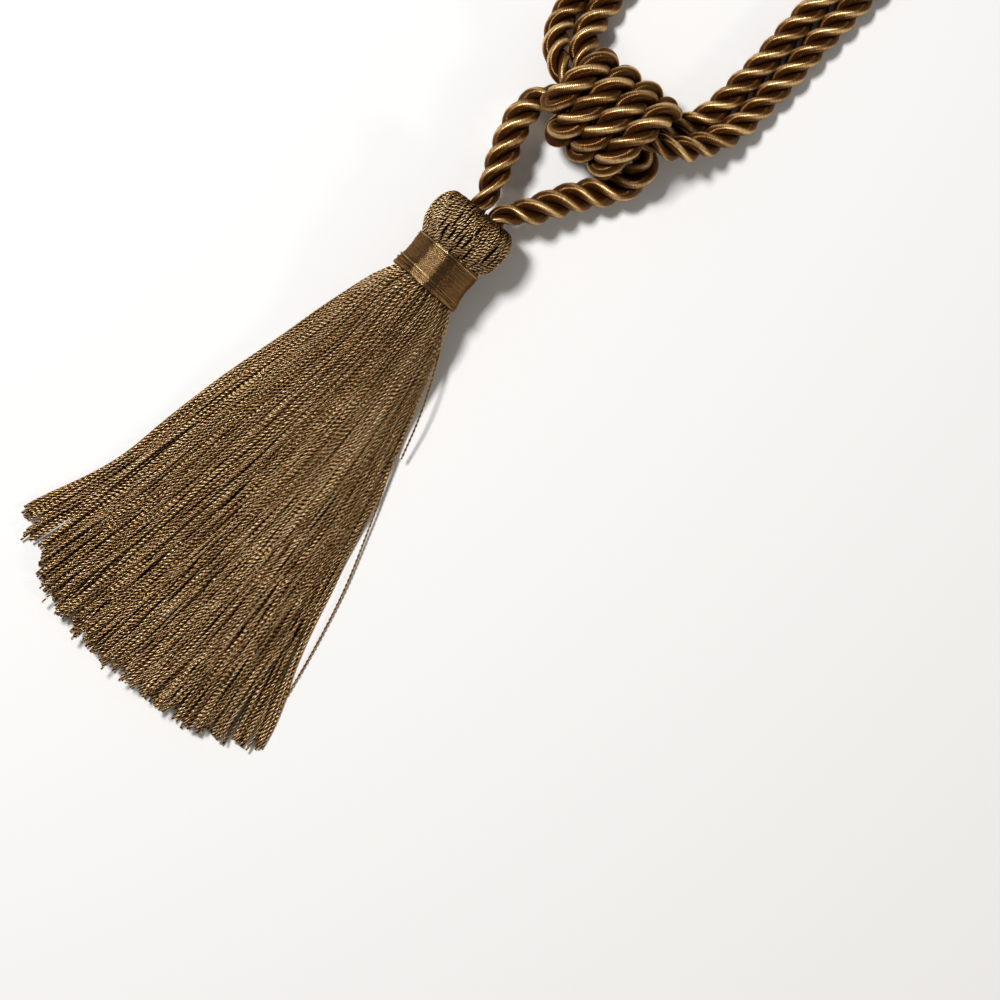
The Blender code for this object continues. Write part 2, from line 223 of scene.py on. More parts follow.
# The skirt's form and its cut end.
SKIRT_START = 24.4
FAN_START = 62.0
SKIRT_ROWS = (
    # distance from the head, half width, pile height, share of the drop to the floor
    (24.0, 12.4, 24.8, 0.00), (27.4, 14.1, 26.6, 0.02), (31.7, 17.0, 26.8, 0.08),
    (38.3, 19.9, 26.0, 0.21), (46.0, 22.6, 24.6, 0.44), (56.0, 25.9, 22.2, 0.72),
    (72.0, 30.5, 19.0, 1.00), (109.0, 41.2, 14.8, 1.00), (143.0, 48.2, 12.4, 1.00),
    (166.0, 53.0, 11.4, 1.00), (197.0, 60.0, 10.4, 1.00), (226.0, 66.0, 9.6, 1.00),
)
TIP_REACH = 223.5
TIP_MIDDLE = 8.0
TIP_HALF_WIDTH = 75.0
TIP_RISE = 27.0
TIP_POWER = 3.2
TIP_CLUMPS = 19.0
TIP_CLUMP_REACH = 1.7
TIP_CLUMP_DRIFT = 0.4
TIP_CLUMP_DRIFTS = 5.0
LONG_TIP = 2.0
LONG_TIP_SHARE = 0.06

# How the skirt's threads lie, a row for each layer:
# threads, ring step, depth, spread, upper, size, ragged, drift.
SKIRT_TOP = (116, 0.62, 0.55, 1.25, True, 1.0, 5.0, 0.42)
SKIRT_TOP_SEED = 31
SKIRT_UNDER = (
    (97, 1.7, 1.6, 1.25, True, 1.0, 5.0, 0.25),
    (89, 6.0, 2.7, 1.25, True, 1.05, 6.0, 0.0),
    (83, 6.0, 3.9, 1.0, True, 1.05, 6.0, 0.0),
    (93, 6.0, 0.6, 1.2, False, 1.05, 4.0, 0.0),
    (83, 6.0, 1.7, 1.2, False, 1.05, 4.0, 0.0),
)
SKIRT_UNDER_SEED = 33
FREE_START = 34.0
FREE_LENGTH = 120.0
FREE_MOST = 1.3
LOCKS = 13.0
LOCK_PULL = 0.8
LOCK_DRIFT = 0.8
LOCK_DRIFTS = 3.0
LOCK_BEND = 0.8
LOCK_BEND_LENGTH = 33.0
FINE_LOCKS = 31.0
FINE_PULL = 0.55
FINE_BEND = 2.2
FINE_BEND_LENGTH = 21.0
FINE_BEND_DRIFT = 9.0
WANDER = 0.45
WANDER_LENGTHS = (40.0, 150.0)
CROSSING_SHARE = 0.10
CROSSING_RIGHT = 0.22
CROSSING_RIGHT_SIDE = 0.5
CROSSING_WANDER = 2.4
CROSSING_LENGTHS = (70.0, 170.0)
CROSSING_RISE = 0.45
NARROWING_DEPTH = 60.0
SPLAY_SIDE = 0.84
SPLAY_LEFT = 9.5
SPLAY_RIGHT = 5.5
SPLAY_START = 145.0
SPLAY_END = 215.0
RANK_SCATTER = 0.25
PILE_STEP = 0.55
MOST_OVERLAP = 4.0
RIPPLE = 0.25
RIPPLE_LENGTHS = (25.0, 80.0)
LEAST_FLAT = 0.02

# The skirt's own thread, and the few that stand off it.
THREAD_WIDTH = 1.13
THREAD_CORNERS = 4
THREAD_SIZES = (0.84, 1.10)
TWISTED_HALVES = (0.55, 0.45)
PLAIN_HALVES = (0.53, 0.50)
SKIRT_THREAD_LAY = 4.3
LAY_SIZES = (0.86, 1.16)
TWISTED_STEP = 0.9
STRAY_HALVES = (0.60, 0.34)
STRAY_STEP = 0.6
STRAY_CURVE_STEPS = 60
STRAY_TONES = (0.2, 0.7)
STRAYS = (
    # x, y, z along each thread
    ((17.5, -34.0, 12.0), (26.0, -52.0, 10.0), (32.5, -69.0, 8.0), (37.0, -85.0, 5.0)),
    (
        (34.0, -85.0, 4.0), (45.5, -117.0, 2.0), (52.5, -139.0, 1.2), (58.0, -163.0, 0.7),
        (62.0, -187.0, 0.7), (64.6, -210.0, 0.7),
    ),
)

# Colours, dark to light, each at its place from 0 to 1: the thread's own brown, with painted shade at
# the dark end and painted highlight at the light end.
CORD_DYE_AND_PAINTED_LIGHT_STOPS = (
    (0.00, (0.050, 0.017, 0.004)),
    (0.40, (0.075, 0.025, 0.005)),
    (0.58, (0.200, 0.086, 0.021)),
    (0.80, (0.850, 0.580, 0.270)),
)
SATIN_DYE_AND_PAINTED_LIGHT_STOPS = (
    (0.00, (0.016, 0.007, 0.002)),
    (0.50, (0.070, 0.029, 0.008)),
    (0.70, (0.260, 0.140, 0.052)),
    (0.86, (1.000, 0.760, 0.440)),
)
THREAD_DYE_AND_PAINTED_LIGHT_STOPS = (
    (0.00, (0.006, 0.0018, 0.0006)),
    (0.22, (0.016, 0.005, 0.0012)),
    (0.38, (0.052, 0.016, 0.0030)),
    (0.56, (0.480, 0.200, 0.048)),
    (0.72, (1.000, 0.660, 0.280)),
    (0.88, (1.000, 0.840, 0.560)),
)

# Tints of the gloss.
GOLD = (1.0, 0.66, 0.29)
PALE = (1.0, 0.74, 0.44)
DULL = (0.50, 0.32, 0.17)

# Gloss and relief.
CORD_LOOK = {
    "depth": 0.08 * MM, "roughness": 0.29, "anisotropic": 1.0, "across": False,
    "ior": 1.55, "metallic": 0.60, "tint": GOLD,
}
SATIN_LOOK = {
    "depth": 0.06 * MM, "roughness": 0.28, "anisotropic": 0.9, "across": True,
    "ior": 1.50, "metallic": 0.90, "tint": DULL,
}
THREAD_LOOK = {
    "depth": 0.30 * MM, "roughness": 0.33, "anisotropic": 0.80, "across": False,
    "ior": 1.50, "metallic": 0.60, "tint": PALE,
}

# Wound yarn: the pitch of its turns in millimetres, and what makes its shade: a painted highlight
# along the crest of each strand or winding that falls to painted shade toward the grooves, yarn
# ridges a little lighter than the creases between them, patches and tone.
CORD_YARN_PITCH = 0.62
SATIN_YARN_PITCH = 0.9
YARN_SLIP = 1.1
YARN_SLIP_SCALE = 300.0
YARN_PATCHES_AROUND = 3.0
YARN_PATCH_SCALE = 0.9
CREST_POWER = 7.0
CREST_PAINTED_LIGHT = 0.52
RIDGE_SHADE = 0.10
YARN_PATCH_SHADE = 0.22
YARN_TONE_SHADE = 0.12
YARN_PATCH_RELIEF = 1.6

# Two-ply thread: its noises' scales, and what makes its shade: a painted highlight along each ply's
# crest with painted glints of varied brightness, painted shade in the groove between plies, tone and
# patches.
PLIES = 2
PLY_POWER = 2.0
PLY_PAINTED_LIGHT = 0.60
THREAD_TONE_SHADE = 0.22
PATCH_SCALE = 70.0
PATCH_SHADE = 0.14
GLINT_SCALE = 420.0
GLINT_SHADE = 0.55
GLINT_DARK = 0.22
FIBRE_SCALE = 1500.0
FIBRE_RELIEF = 0.25

# The picture: the camera, the lights and the floor.
VIEW_MIDDLE = (0.078, -0.0724)
VIEW_TURN = math.radians(39.6)
VIEW_WIDTH = 0.400
VIEW_HEIGHT = 0.012
LENS = 200.0
SENSOR = 36.0
CLIP_END = 20.0
LIGHTS = (
    # name, azimuth, elevation, watts, colour
    ("key", 174.5, 60.0, 39.0, (1.0, 0.99, 0.97)),
    ("fill", -8.0, 32.0, 5.0, (1.0, 0.86, 0.68)),
)
LIGHT_SIZE = 0.35
LIGHT_DISTANCE = 2.0
LIT_POINT = (0.02, -0.03, 0.0)
WORLD_COLOUR = (1.0, 1.0, 1.0, 1.0)
WORLD_STRENGTH = 0.18
FLOOR_HALF_WIDTH = 4.0
FLOOR_COLOUR = (0.90, 0.90, 0.905, 1.0)
FLOOR_ROUGHNESS = 0.75


# Arrays


def unit(vectors):
    """The same directions at length one."""
    return vectors / np.maximum(np.linalg.norm(vectors, axis=-1, keepdims=True), 1e-12)


def smooth_step(values, start, end):
    """0 before start, 1 after end and a smooth rise between."""
    share = np.clip((values - start) / (end - start), 0.0, 1.0)
    return share * share * (3.0 - 2.0 * share)


def smooth_rows(rows, steps, spans=None):
    """Dense rows on one smooth curve through the table's rows."""
    knots = np.array(rows, dtype=float)
    if spans is None:
        spans = np.linalg.norm(np.diff(knots[:, :3], axis=0), axis=1)
    chords = np.diff(knots, axis=0) / spans[:, None]
    slopes = np.empty_like(knots)
    slopes[0], slopes[-1] = chords[0], chords[-1]
    weights = spans[:-1] + spans[1:]
    slopes[1:-1] = (chords[:-1] * spans[1:, None] + chords[1:] * spans[:-1, None]) / weights[:, None]
    t = (np.arange(steps) / steps)[None, :, None]
    rise = t * t * (3.0 - 2.0 * t)
    leave = (slopes[:-1] * spans[:, None])[:, None]
    arrive = (slopes[1:] * spans[:, None])[:, None]
    dense = knots[:-1, None] * (1.0 - rise) + knots[1:, None] * rise
    dense = dense + leave * t * (1.0 - t) ** 2 - arrive * t * t * (1.0 - t)
    return np.vstack([dense.reshape(-1, knots.shape[1]), knots[-1:]])


def table_curve(rows, key):
    """The table's other columns at key, along smooth curves through its first column."""
    spans = np.diff(np.array(rows, dtype=float)[:, 0])
    dense = smooth_rows(rows, CURVE_STEPS, spans)
    return [np.interp(key, dense[:, 0], dense[:, column]) for column in range(1, dense.shape[1])]


def waver(draw, count, along, shortest, longest, waves=3):
    """Smooth random wandering between about -1 and 1 along each of several threads."""
    total = np.zeros((count, along.shape[-1]))
    for _ in range(waves):
        length = draw.uniform(shortest, longest, (count, 1))
        phase = draw.uniform(0.0, TAU, (count, 1))
        total += np.sin(TAU * along / length + phase)
    return total / waves


def travelled(centre):
    """The distance along each line, from its first point."""
    steps = np.linalg.norm(np.diff(centre, axis=-2), axis=-1)
    start = np.zeros((*steps.shape[:-1], 1))
    return np.concatenate([start, np.cumsum(steps, axis=-1)], axis=-1)


def at_distances(rows, reach, wanted):
    """The rows' columns where the distance along them, reach, is wanted."""
    return np.stack([np.interp(wanted, reach, column) for column in rows.T], axis=1)


def outward_in_ring(angle):
    """Directions away from the tassel's level axis, at each angle about it."""
    return np.stack([np.cos(angle), np.zeros_like(angle), np.sin(angle)], axis=-1)


class Strands:
    """Tubes gathered into one mesh, each with its own tone."""

    def __init__(self):
        self.verts, self.faces, self.uvs, self.tones = [], [], [], []
        self.count = 0

    def add(self, centre, up, half_side, half_up, corners, tone, turn=0.0, spin=0.0):
        """Add tubes along centre (tubes, rings, 3), with up as each section's up.

        turn winds the sections themselves round, and spin only their material's pattern.
        """
        tubes, rings = centre.shape[:2]
        tangent = unit(np.gradient(centre, axis=1))
        lift = unit(up - tangent * np.sum(up * tangent, axis=-1, keepdims=True))
        side = np.cross(lift, tangent)
        angle = TAU * np.arange(corners) / corners
        turn = np.broadcast_to(turn, (tubes, rings))[..., None]
        half_side = np.broadcast_to(half_side, (tubes, rings))[..., None]
        half_up = np.broadcast_to(half_up, (tubes, rings))[..., None]
        across = half_side * np.cos(angle) * np.cos(turn) - half_up * np.sin(angle) * np.sin(turn)
        above = half_side * np.cos(angle) * np.sin(turn) + half_up * np.sin(angle) * np.cos(turn)
        ring = centre[:, :, None] + across[..., None] * side[:, :, None]
        ring = ring + above[..., None] * lift[:, :, None]
        ring[..., 2] = np.maximum(ring[..., 2], FLOOR_CLEARANCE)
        index = self.count + np.arange(tubes * rings * corners).reshape(tubes, rings, corners)
        beside = np.roll(index, -1, axis=2)
        sides = np.stack([index[:, :-1], beside[:, :-1], beside[:, 1:], index[:, 1:]], axis=-1)
        along = travelled(centre) / MM
        around = np.arange(corners) / corners + spin * along[..., None]
        near, far = around, around + 1.0 / corners
        down = np.broadcast_to(along[..., None], near.shape)
        uv = np.stack(
            [
                np.stack([down[:, :-1], near[:, :-1]], axis=-1),
                np.stack([down[:, :-1], far[:, :-1]], axis=-1),
                np.stack([down[:, 1:], far[:, 1:]], axis=-1),
                np.stack([down[:, 1:], near[:, 1:]], axis=-1),
            ],
            axis=-2,
        )
        self.verts.append(ring.reshape(-1, 3))
        self.faces.append(sides.reshape(-1, 4))
        self.uvs.append(uv.reshape(-1, 2))
        self.close_ends(index, along)
        tone = np.broadcast_to(np.reshape(tone, (tubes, -1)), (tubes, rings))
        self.tones.append(np.repeat(tone.ravel(), corners))
        self.count += tubes * rings * corners

    def close_ends(self, index, along):
        """Caps of four-sided faces over both ends of the tubes with these vertices."""
        tubes, _, corners = index.shape
        for slab in range(corners // 2 - 1):
            pick = [0, 2 * slab + 1, 2 * slab + 2, 2 * slab + 3]
            for caps, end in ((index[:, 0, pick[::-1]], 0), (index[:, -1, pick], -1)):
                self.faces.append(caps)
                flat = np.zeros((tubes, 4, 2))
                flat[..., 0] = along[:, end, None]
                self.uvs.append(flat.reshape(-1, 2))

    def piece(self, name, node, slot, material):
        """Make the mesh object, standing for its node."""
        verts = np.vstack(self.verts)
        faces = np.vstack(self.faces)
        mesh = bpy.data.meshes.new(name)
        mesh.vertices.add(len(verts))
        mesh.vertices.foreach_set("co", verts.ravel())
        mesh.loops.add(faces.size)
        mesh.loops.foreach_set("vertex_index", faces.ravel())
        mesh.polygons.add(len(faces))
        mesh.polygons.foreach_set("loop_start", np.arange(0, faces.size, 4))
        mesh.update(calc_edges=True)
        layer = mesh.uv_layers.new(name=MATERIAL_UV)
        layer.uv.foreach_set("vector", np.vstack(self.uvs).ravel())
        tone = mesh.attributes.new("tone", "FLOAT", "POINT")
        tone.data.foreach_set("value", np.concatenate(self.tones))
        mesh.shade_smooth()
        mesh.materials.append(material)
        piece = bpy.data.objects.new(name, mesh)
        bpy.context.scene.collection.objects.link(piece)
        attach(piece, "root")
        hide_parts(node)
        return piece


# Materials


def add_node(tree, kind, inputs=(), **settings):
    """Add a node with its settings, and join or set its inputs."""
    node = tree.nodes.new(kind)
    for key, value in settings.items():
        setattr(node, key, value)
    for key, value in dict(inputs).items():
        if isinstance(value, bpy.types.NodeSocket):
            tree.links.new(value, node.inputs[key])
        else:
            node.inputs[key].default_value = value
    return node


def math_node(tree, operation, first, second=0.0, third=0.0):
    """The output of one Math node."""
    node = add_node(tree, "ShaderNodeMath", {0: first, 1: second, 2: third}, operation=operation)
    return node.outputs[0]


def colour_ramp(tree, value, stops):
    """Colours of the stops (place, colour) at value."""
    node = add_node(tree, "ShaderNodeValToRGB", {"Fac": value})
    elements = node.color_ramp.elements
    while len(elements) < len(stops):
        elements.new(0.5)
    for element, (place, colour) in zip(elements, stops):
        element.position = place
        element.color = (*colour, 1.0)
    return node.outputs["Color"]


def thread_coordinates(tree):
    """The distance along a thread in millimetres and the place around it in turns."""
    uv = add_node(tree, "ShaderNodeUVMap", uv_map=MATERIAL_UV)
    parts = add_node(tree, "ShaderNodeSeparateXYZ", {0: uv.outputs["UV"]})
    return parts.outputs["X"], parts.outputs["Y"]


def own_tone(tree):
    """Each thread's own tone, 0 to 1; on the head's threads it also carries a painted shade near the
    dimple, below 0.
    """
    return add_node(tree, "ShaderNodeAttribute", attribute_name="tone").outputs["Fac"]


def noise(tree, vector, scale, detail):
    """Smooth noise around one half."""
    node = add_node(
        tree, "ShaderNodeTexNoise", {"Vector": vector, "Scale": scale, "Detail": detail}
    )
    return node.outputs["Fac"]


def new_tree(name):
    """A new node material and its tree."""
    material = bpy.data.materials.new(name)
    material.use_nodes = True
    return material, material.node_tree


def finish_thread(
    tree, colour, height, depth, roughness, anisotropic, across, ior, metallic, tint
):
    """Join colour and relief to a satin shader, its gloss drawn out along or across the thread."""
    bump = add_node(
        tree, "ShaderNodeBump", {"Strength": 1.0, "Distance": depth, "Height": height}
    )
    tangent = add_node(tree, "ShaderNodeTangent", direction_type="UV_MAP", uv_map=MATERIAL_UV)
    shader = tree.nodes["Principled BSDF"]
    for key, value in (
        ("Roughness", roughness),
        ("Anisotropic", anisotropic),
        ("Anisotropic Rotation", QUARTER_TURN if across else 0.0),
        ("IOR", ior),
        ("Specular IOR Level", 1.0),
        ("Specular Tint", (*tint, 1.0)),
        ("Metallic", metallic),
    ):
        shader.inputs[key].default_value = value
    tree.links.new(colour, shader.inputs["Base Color"])
    tree.links.new(bump.outputs["Normal"], shader.inputs["Normal"])
    tree.links.new(tangent.outputs["Tangent"], shader.inputs["Tangent"])


def twisted_material(name, stops, look):
    """Two-ply twisted rayon: a painted highlight along each ply and painted shade in the groove
    between them.
    """
    material, tree = new_tree(name)
    _, around = thread_coordinates(tree)
    ply = math_node(tree, "COSINE", math_node(tree, "MULTIPLY", around, PLIES * TAU))
    crest = math_node(tree, "MULTIPLY_ADD", ply, 0.5, 0.5)
    place = add_node(tree, "ShaderNodeTexCoord").outputs["Object"]
    patches = noise(tree, place, PATCH_SCALE, 3.0)
    glints = noise(tree, place, GLINT_SCALE, 1.0)
    fibres = noise(tree, place, FIBRE_SCALE, 1.0)
    crest_glint = math_node(tree, "MULTIPLY", crest, GLINT_SHADE)
    crest_dark = math_node(tree, "MULTIPLY", crest, GLINT_DARK)
    # Painted highlight along the ply crests, falling to painted shade in the groove between plies.
    shade = math_node(tree, "MULTIPLY", math_node(tree, "POWER", crest, PLY_POWER), PLY_PAINTED_LIGHT)
    shade = math_node(tree, "MULTIPLY_ADD", own_tone(tree), THREAD_TONE_SHADE, shade)
    shade = math_node(tree, "MULTIPLY_ADD", patches, PATCH_SHADE, shade)
    # Painted glints: noise makes some ply crests brighter than others, and a share is taken back off
    # the crests.
    shade = math_node(tree, "MULTIPLY_ADD", glints, crest_glint, shade)
    shade = math_node(tree, "SUBTRACT", shade, crest_dark)
    colour = colour_ramp(tree, shade, stops)
    height = math_node(tree, "MULTIPLY_ADD", fibres, FIBRE_RELIEF, math_node(tree, "SQRT", crest))
    finish_thread(tree, colour, height, **look)
    return material


def wound_material(name, stops, pitch, look):
    """Satin yarn wound round a strand: fine ridges across it, a line of gloss along it, and a painted
    highlight on its crest that falls to painted shade in the grooves.
    """
    material, tree = new_tree(name)
    along, around = thread_coordinates(tree)
    place = add_node(tree, "ShaderNodeTexCoord").outputs["Object"]
    slanted = math_node(tree, "MULTIPLY_ADD", around, pitch, along)
    slip = noise(tree, place, YARN_SLIP_SCALE, 2.0)
    shifted = math_node(tree, "MULTIPLY_ADD", slip, YARN_SLIP * pitch, slanted)
    wave = math_node(tree, "COSINE", math_node(tree, "MULTIPLY", shifted, TAU / pitch))
    ridge = math_node(tree, "MULTIPLY_ADD", wave, 0.5, 0.5)
    turned = math_node(tree, "MULTIPLY_ADD", around, TAU, -TAU / 4.0)
    crest = math_node(tree, "MULTIPLY_ADD", math_node(tree, "COSINE", turned), 0.5, 0.5)
    turns = math_node(tree, "DIVIDE", slanted, pitch)
    patch = math_node(tree, "MULTIPLY", around, YARN_PATCHES_AROUND)
    yarn = add_node(tree, "ShaderNodeCombineXYZ", {0: turns, 1: patch}).outputs[0]
    uneven = noise(tree, yarn, YARN_PATCH_SCALE, 1.0)
    # Painted highlight on the crest, falling off to painted shade toward the grooves.
    shade = math_node(tree, "MULTIPLY", math_node(tree, "POWER", crest, CREST_POWER), CREST_PAINTED_LIGHT)
    shade = math_node(tree, "MULTIPLY_ADD", ridge, RIDGE_SHADE, shade)
    shade = math_node(tree, "MULTIPLY_ADD", uneven, YARN_PATCH_SHADE, shade)
    shade = math_node(tree, "MULTIPLY_ADD", own_tone(tree), YARN_TONE_SHADE, shade)
    colour = colour_ramp(tree, shade, stops)
    height = math_node(tree, "MULTIPLY_ADD", uneven, YARN_PATCH_RELIEF, ridge)
    finish_thread(tree, colour, height, **look)
    return material


# The ropes


def even_route(rows, spacing):
    """Points a given spacing apart along the smooth route: x, y, z, girth."""
    dense = smooth_rows(rows, CURVE_STEPS)
    dense[:, 2] = np.maximum(dense[:, 2], dense[:, 3] * ROPE_DIAMETER / 2.0)
    reach = travelled(dense[:, :3])
    count = round(reach[-1] / spacing)
    return at_distances(dense, reach, np.linspace(0.0, reach[-1], count + 1))


def carried_normals(line):
    """A direction square to the line that is carried along it without twisting."""
    tangent = unit(np.gradient(line, axis=0))
    normal = np.cross(tangent[0], (0.0, 0.0, 1.0))
    normals = []
    for direction in tangent:
        normal = normal - direction * np.dot(normal, direction)
        normal = normal / np.linalg.norm(normal)
        normals.append(normal)
    return tangent, np.array(normals)


def rope_strands(route, seed, fullness):
    """The three strands of a laid rope along the route."""
    draw = np.random.default_rng(seed)
    line, girth = route[:, :3], fullness * route[:, 3]
    tangent, normal = carried_normals(line)
    binormal = np.cross(tangent, normal)
    reach = travelled(line)
    angle = TAU * (reach / ROPE_LAY + np.arange(ROPE_STRANDS)[:, None] / ROPE_STRANDS)
    outward = np.cos(angle)[..., None] * normal + np.sin(angle)[..., None] * binormal
    uneven = waver(draw, ROPE_STRANDS, reach, LUMP_SHORTEST, LUMP_LONGEST, LUMP_WAVES)
    lumps = 1.0 + LUMP_SIZE * uneven
    offset = girth * (1.0 - LUMP_OFFSET_SHARE + LUMP_OFFSET_SHARE * lumps)
    strands = Strands()
    strands.add(
        line + STRAND_OFFSET * offset[..., None] * outward,
        outward,
        STRAND_HALF_WIDTH * girth * lumps,
        STRAND_RISE * girth * lumps,
        STRAND_CORNERS,
        draw.uniform(0.0, 1.0, ROPE_STRANDS),
    )
    return strands


def add_cord(name, rows, node, slot, material, spacing, seed, fullness):
    """One free rope along its own route."""
    route = even_route(rows, spacing)
    cord = rope_strands(route, seed, fullness).piece(name, node, slot, material)


def knot_rows():
    """The coil of the knot, counted in turns from its underside."""
    count = round((KNOT_LAST_TURN - KNOT_FIRST_TURN) * KNOT_ROWS_PER_TURN)
    turn = np.linspace(KNOT_FIRST_TURN, KNOT_LAST_TURN, count + 1)
    from_end = np.minimum(turn - KNOT_FIRST_TURN, KNOT_LAST_TURN - turn)
    girth = KNOT_END_GIRTH + (KNOT_GIRTH - KNOT_END_GIRTH) * np.minimum(from_end / KNOT_END_TURN, 1.0)
    along = KNOT_PITCH * (turn - KNOT_MIDDLE_TURN)
    across = -KNOT_HALF_WIDTH * np.sin(TAU * turn)
    across = np.where(turn < KNOT_FIRST_TOP, np.maximum(across, -KNOT_TUCK), across)
    x = KNOT_CENTRE[0] + along * math.cos(KNOT_TILT) - across * math.sin(KNOT_LEAN)
    y = KNOT_CENTRE[1] + along * math.sin(KNOT_TILT) + across * math.cos(KNOT_LEAN)
    z = KNOT_CENTRE[2] - KNOT_HALF_HEIGHT * np.cos(TAU * turn)
    return np.stack([x * MM, y * MM, z * MM, girth], axis=1)


def make_ropes():
    """The bridle and the tie rope, then the knot's rope wound round both."""
    bridle_cord, knot_cord, tie_cord = [
        wound_material(name, CORD_DYE_AND_PAINTED_LIGHT_STOPS, CORD_YARN_PITCH, CORD_LOOK)
        for name in ("bridle_cord", "knot_cord", "tie_cord")
    ]
    add_cord(
        "bridle_rope_strands", BRIDLE_ROUTE, "bridle_rope", "bridle_cord", bridle_cord,
        BRIDLE_STEP, BRIDLE_SEED, BRIDLE_FULLNESS,
    )
    add_cord(
        "tie_rope_strands", TIE_ROUTE, "tie_rope", "tie_cord", tie_cord,
        TIE_STEP, TIE_SEED, TIE_FULLNESS,
    )
    knot = rope_strands(even_route(knot_rows(), KNOT_STEP), KNOT_SEED, KNOT_FULLNESS)
    knot.piece("knot_wrap_strands", "knot_wrap", "knot_cord", knot_cord)


# The head and its binding


def turned_skin(strands, profile, steps, tone):
    """A closed skin under the threads, turned about the tassel's level axis.

    Its place around a thread is a quarter turn: on twisted thread that is the dark groove between
    plies, so the head's skin seen between the threads is painted shade; on wound yarn it is the
    crest.
    """
    along, radius = np.array(profile, dtype=float).T * MM
    angle = TAU * np.arange(steps) / steps
    x = radius[:, None] * np.cos(angle)
    z = AXIS_HEIGHT + radius[:, None] * np.sin(angle)
    y = np.broadcast_to(-along[:, None], x.shape)
    ring = np.stack([x, y, np.maximum(z, 2.0 * FLOOR_CLEARANCE)], axis=-1)
    index = strands.count + np.arange(ring[..., 0].size).reshape(x.shape)
    beside = np.roll(index, -1, axis=1)
    faces = np.stack([index[:-1], beside[:-1], beside[1:], index[1:]], axis=-1).reshape(-1, 4)
    strands.verts.append(ring.reshape(-1, 3))
    strands.faces.append(faces)
    strands.uvs.append(np.full((faces.size, 2), QUARTER_TURN))
    strands.tones.append(np.full(x.size, tone))
    strands.count += x.size


def head_threads(strands, draw, count, lowest, highest, wander, whole_turn):
    """Threads from the dimple over the ball to the binding, with painted shade where they leave the
    dimple.
    """
    lift = draw.uniform(lowest, highest, count)
    profile = [(along, radius, 0.0) for along, radius in HEAD_THREAD_PROFILE]
    rows = smooth_rows(profile, HEAD_CURVE_STEPS)
    reach = travelled(rows[:, :2])
    wanted = np.linspace(0.0, reach[-1], round(reach[-1] / HEAD_RING_STEP))
    along, radius = at_distances(rows[:, :2], reach, wanted).T
    scatter = draw.uniform(-HEAD_SCATTER, HEAD_SCATTER, count)
    angle = (TAU * (np.arange(count) + scatter) / count)[:, None]
    angle = angle + whole_turn * (wanted / reach[-1])
    sway = waver(draw, count, wanted, *HEAD_WANDER_LENGTHS) / np.maximum(radius, HEAD_WANDER_RADIUS)
    angle = angle + wander * sway
    ripple = HEAD_RIPPLE * waver(draw, count, wanted, *HEAD_RIPPLE_LENGTHS)
    reach_out = (radius + lift[:, None] + ripple) * MM
    outward = outward_in_ring(angle)
    centre = outward * reach_out[..., None]
    centre[..., 1] = -along * MM
    centre[..., 2] += AXIS_HEIGHT
    onward, widening = np.gradient(along), np.gradient(radius)
    slant = np.hypot(onward, widening)
    up = (onward / slant)[None, :, None] * outward
    up = up + (widening / slant)[None, :, None] * np.array([0.0, 1.0, 0.0])
    size = draw.uniform(*HEAD_THREAD_SIZES, count)[:, None] * MM
    turn = draw.uniform(0.0, TAU, count)[:, None] + TAU * wanted / HEAD_THREAD_LAY
    # Painted shade: the threads are darkened where they leave the dimple, standing in for the shade
    # in that recess.
    painted_shade = DIMPLE_PAINTED_SHADE * (1.0 - smooth_step(wanted, DIMPLE_LIP, DIMPLE_SHADE))
    tone = draw.uniform(0.0, 1.0, count)[:, None] - painted_shade
    half_side, half_up = HEAD_THREAD_HALVES
    strands.add(
        centre, up, half_side * size, half_up * size, HEAD_THREAD_CORNERS, tone, turn=turn
    )


def add_hoop(strands, angle, along, radius, thickness, draw):
    """One thread wound round the tassel's axis."""
    outward = outward_in_ring(angle)
    centre = outward * (radius * MM)[:, None]
    centre[:, 1] = -along * MM
    centre[:, 2] += AXIS_HEIGHT
    half = thickness / 2.0 * MM
    tone = np.array([draw.uniform(*HOOP_TONES)])
    strands.add(centre[None], outward[None], half * HOOP_FLATNESS, half, HOOP_CORNERS, tone)


def binding_windings(strands, draw):
    """The satin thread wound side by side round the neck."""
    start = BINDING_ROWS[0][0] + BINDING_FIRST_GAP
    end = BINDING_ROWS[-1][0] - BINDING_LAST_GAP
    turns = (end - start) / BINDING_PITCH
    turn = np.linspace(0.0, turns, int(turns * BINDING_STEPS))
    angle = TAU * turn
    (radius,) = table_curve(BINDING_ROWS, start + turn * BINDING_PITCH)
    lean = BINDING_LEAN * np.sin(angle + BINDING_LEAN_TURN)
    lean = lean + BINDING_STRAY * waver(draw, 1, turn, *BINDING_STRAY_TURNS)[0]
    along = start + turn * BINDING_PITCH + lean
    swell = BINDING_SWELL * waver(draw, 1, turn, *BINDING_SWELL_TURNS, BINDING_SWELL_WAVES)[0]
    add_hoop(strands, angle, along, radius - BINDING_SUNK + swell, BINDING_THREAD, draw)


def binding_overlays(strands, draw):
    """The thicker and slanted turns laid over the binding near its ends."""
    for along, radius, slant, phase, thickness, turns in BINDING_OVERLAYS:
        turn = np.linspace(0.0, turns, int(turns * BINDING_STEPS))
        angle = TAU * (turn + phase)
        place = along + slant * np.cos(angle) + 0.5 * thickness * turn
        add_hoop(strands, angle, place, np.full_like(turn, radius), thickness, draw)


def make_head(draw, thread):
    """The ball head of twisted thread over its skin."""
    head = Strands()
    turned_skin(head, HEAD_SKIN, HEAD_SKIN_STEPS, HEAD_SKIN_TONE)
    for layer in HEAD_LAYERS:
        head_threads(head, draw, *layer)
    head.piece("head_threads", "tassel", "tassel_thread", thread)


